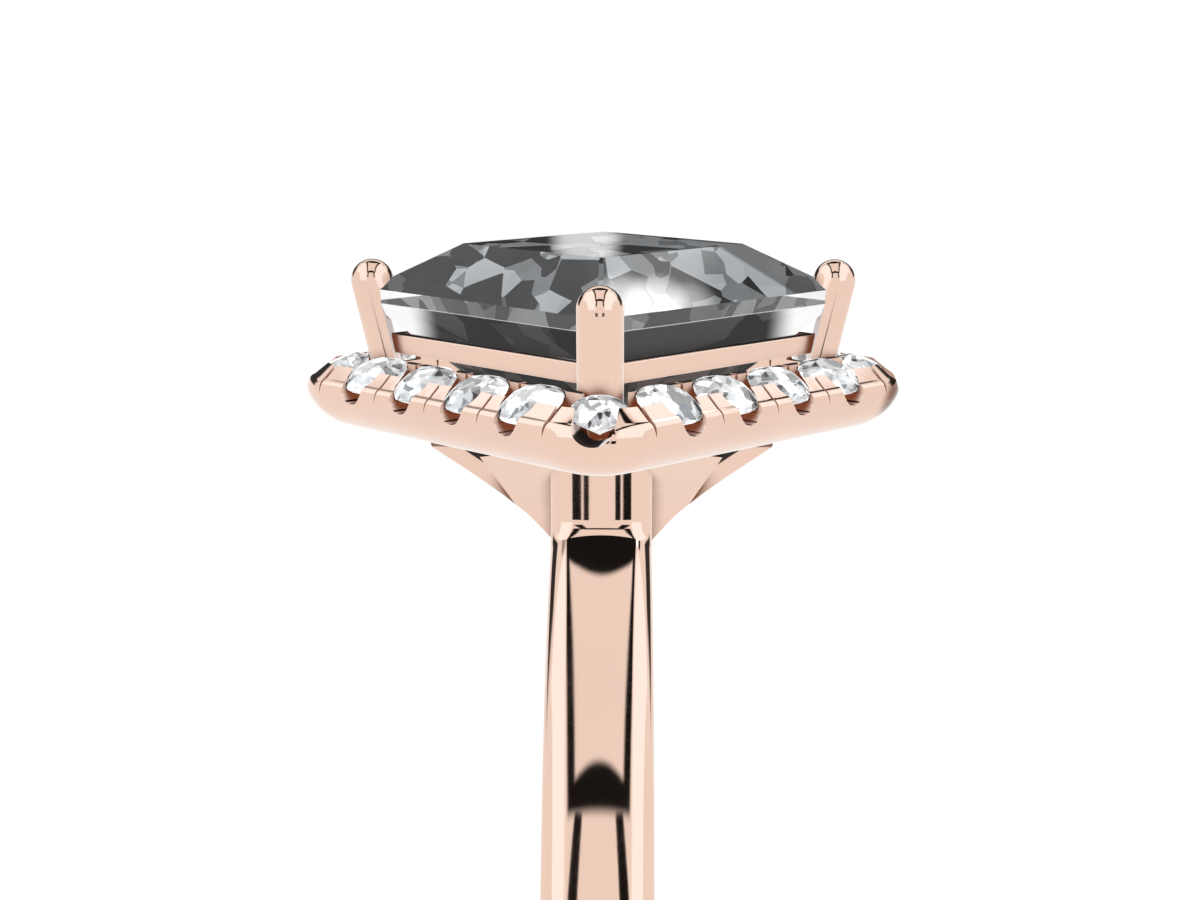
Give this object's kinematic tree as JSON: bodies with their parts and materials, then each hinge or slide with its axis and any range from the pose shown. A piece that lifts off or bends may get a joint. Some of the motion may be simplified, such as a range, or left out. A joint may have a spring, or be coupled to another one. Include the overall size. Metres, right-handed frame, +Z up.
{
  "type": "halo ring",
  "caption": "Finger ring with a four-petal cup, a square smoky centre stone in four round claws and a square halo of small white stones.",
  "frame": {"origin": "middle of the finger hole, half way along its length", "axes": "the ring lies on its side: -Y from the finger hole towards the head, Z up from the surface it rests on, X across the band"},
  "size_m": [0.02, 0.025, 0.0121],
  "materials": {
    "rose_gold": "polished rose gold",
    "smoky_stone": "polished facets",
    "white_stone": "polished facets"
  },
  "bodies": {
    "root": {"gold_mounting": "rose_gold", "center_stone": "smoky_stone", "halo_stone_01": "white_stone", "halo_stone_02": "white_stone", "halo_stone_03": "white_stone", "halo_stone_04": "white_stone", "halo_stone_05": "white_stone", "halo_stone_06": "white_stone", "halo_stone_07": "white_stone", "halo_stone_08": "white_stone", "halo_stone_09": "white_stone", "halo_stone_10": "white_stone", "halo_stone_11": "white_stone", "halo_stone_12": "white_stone", "halo_stone_13": "white_stone", "halo_stone_14": "white_stone", "halo_stone_15": "white_stone", "halo_stone_16": "white_stone", "halo_stone_17": "white_stone", "halo_stone_18": "white_stone", "halo_stone_19": "white_stone", "halo_stone_20": "white_stone"}
  },
  "joints": []
}
